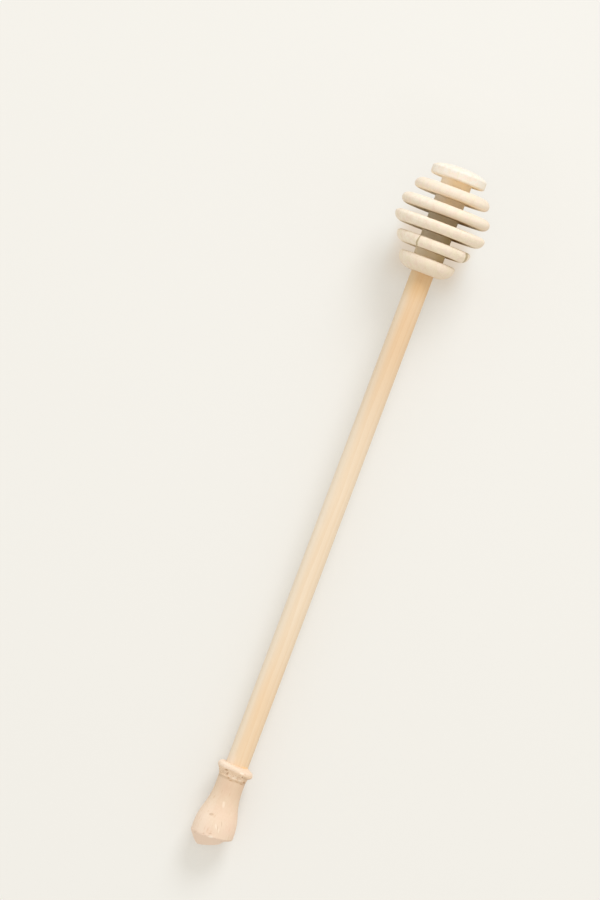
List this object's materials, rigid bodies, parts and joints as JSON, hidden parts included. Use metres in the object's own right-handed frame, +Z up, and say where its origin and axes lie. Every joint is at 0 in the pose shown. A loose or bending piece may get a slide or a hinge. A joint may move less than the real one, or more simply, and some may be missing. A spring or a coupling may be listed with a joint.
{
  "type": "honey dipper",
  "caption": "Turned wooden honey dipper: a grooved egg-shaped head and a waisted end knob on a plain dowel handle, for lifting and drizzling honey.",
  "frame": {"origin": "on the table that the part lies on, under the middle of its overall length", "axes": "+X from the end knob towards the grooved head, +Z up; the part lies on its side, and its axis climbs 2.26 degrees towards the head"},
  "size_m": [0.2488, 0.0326, 0.0326],
  "materials": {
    "head_wood": "bare, fine-sanded pale cream wood, with darker sawn grooves",
    "handle_wood": "bare, smooth straight-grained yellowish wood",
    "knob_wood": "bare, sanded pinkish wood with short flecks, and a rough cove under the collar"
  },
  "bodies": {
    "root": {"dipper_head": "head_wood", "handle_dowel": "handle_wood", "end_knob": "knob_wood"}
  },
  "joints": []
}
